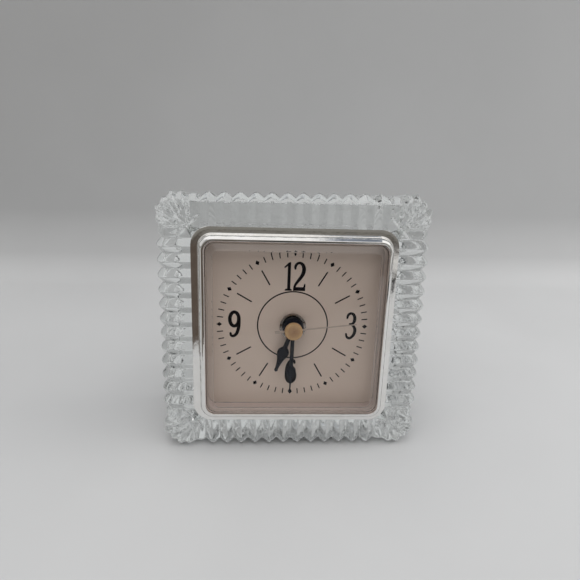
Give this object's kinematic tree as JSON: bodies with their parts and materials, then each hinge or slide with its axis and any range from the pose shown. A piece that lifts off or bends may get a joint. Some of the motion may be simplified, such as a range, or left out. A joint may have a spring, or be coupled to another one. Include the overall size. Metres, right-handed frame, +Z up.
{
  "type": "desk clock",
  "caption": "Square desk clock: a clear ribbed glass block with a chrome-rimmed quartz insert, square dial, pear-shaped hands and a battery movement.",
  "frame": {"origin": "on the table, under the middle of the clock's box; the clock stands on z = 0", "axes": "+Z up, the dial faces -Y and leans back 6.5 degrees, +X to the viewer's right"},
  "size_m": [0.1016, 0.0514, 0.1008],
  "materials": {
    "clear_glass": "polished pressed glass",
    "clear_lens": "clear acrylic",
    "chrome_plate": "polished",
    "dial_paint": "satin champagne with printed marks",
    "nut_plate": "polished",
    "fibre": "matte",
    "hand_paint": "gloss black",
    "cap_brass": "satin",
    "black_plastic": "fine texture",
    "band_rubber": "matte",
    "gear_plastic": "satin",
    "pinion_brass": "machined",
    "magnet": "sintered",
    "steel": "plain",
    "copper_wire": "enamelled wire",
    "board": "solder mask",
    "battery_sleeve": "printed sleeve"
  },
  "bodies": {
    "clock_body": {"glass_block": "clear_glass", "bezel": "chrome_plate", "lens": "clear_lens", "dial": "dial_paint", "hub_nut": "nut_plate", "washer": "fibre", "housing": "black_plastic", "retaining_band": "band_rubber", "movement_front": "black_plastic", "movement_back": "black_plastic", "middle_plate": "gear_plastic", "stator": "steel", "coil": "copper_wire", "circuit_board": "board", "quartz_can": "steel", "battery": "battery_sleeve", "contact_positive": "steel", "contact_negative": "steel", "case_screws": "steel"},
    "seconds": {"second_hand": "cap_brass", "seconds_wheel": "gear_plastic"},
    "minutes": {"minute_hand": "hand_paint", "cannon_pinion": "pinion_brass"},
    "hours": {"hour_hand": "hand_paint", "hour_wheel": "gear_plastic"},
    "centre": {"centre_wheel": "gear_plastic"},
    "third": {"third_wheel": "gear_plastic"},
    "intermediate": {"intermediate_wheel": "gear_plastic"},
    "rotor": {"rotor": "magnet"},
    "motion": {"motion_wheel": "gear_plastic"},
    "knob": {"set_knob": "black_plastic"},
    "door": {"battery_door": "black_plastic"}
  },
  "joints": [
    {"name": "seconds_turn", "type": "hinge", "parent": "clock_body", "child": "seconds", "pos_m": [0, -0.01261, 0.05014], "axis": [0, 0.9936, -0.1132], "continuous": true},
    {"name": "rotor_turn", "type": "hinge", "parent": "clock_body", "child": "rotor", "pos_m": [0.01632, -0.01313, 0.0455], "axis": [0, 0.9936, -0.1132], "continuous": true},
    {"name": "intermediate_turn", "type": "hinge", "parent": "clock_body", "child": "intermediate", "pos_m": [0.00807, -0.01295, 0.04708], "axis": [0, 0.9936, -0.1132], "continuous": true},
    {"name": "third_turn", "type": "hinge", "parent": "clock_body", "child": "third", "pos_m": [-0.0071, -0.01178, 0.05742], "axis": [0, 0.9936, -0.1132], "continuous": true},
    {"name": "centre_turn", "type": "hinge", "parent": "clock_body", "child": "centre", "pos_m": [0, -0.01261, 0.05014], "axis": [0, 0.9936, -0.1132], "continuous": true},
    {"name": "minute_turn", "type": "hinge", "parent": "clock_body", "child": "minutes", "pos_m": [0, -0.01261, 0.05014], "axis": [0, 0.9936, -0.1132], "continuous": true},
    {"name": "motion_turn", "type": "hinge", "parent": "clock_body", "child": "motion", "pos_m": [0.00603, -0.01194, 0.05595], "axis": [0, 0.9936, -0.1132], "continuous": true},
    {"name": "hour_turn", "type": "hinge", "parent": "clock_body", "child": "hours", "pos_m": [0, -0.01261, 0.05014], "axis": [0, 0.9936, -0.1132], "continuous": true},
    {"name": "knob_turn", "type": "hinge", "parent": "clock_body", "child": "knob", "pos_m": [0.01035, -0.01113, 0.06311], "axis": [0, 0.9936, -0.1132], "continuous": true},
    {"name": "door_slide", "type": "slide", "parent": "clock_body", "child": "door", "axis": [0.0157, 0.1132, 0.9934], "range_m": [0, 0.012]}
  ],
  "couplings": [
    {"joint": "rotor_turn", "follows": "seconds_turn", "ratio": 30},
    {"joint": "intermediate_turn", "follows": "seconds_turn", "ratio": -5},
    {"joint": "third_turn", "follows": "seconds_turn", "ratio": -0.13333},
    {"joint": "centre_turn", "follows": "seconds_turn", "ratio": 0.016667},
    {"joint": "motion_turn", "follows": "minute_turn", "ratio": -0.33333},
    {"joint": "hour_turn", "follows": "minute_turn", "ratio": 0.083333},
    {"joint": "knob_turn", "follows": "minute_turn", "ratio": 1}
  ]
}
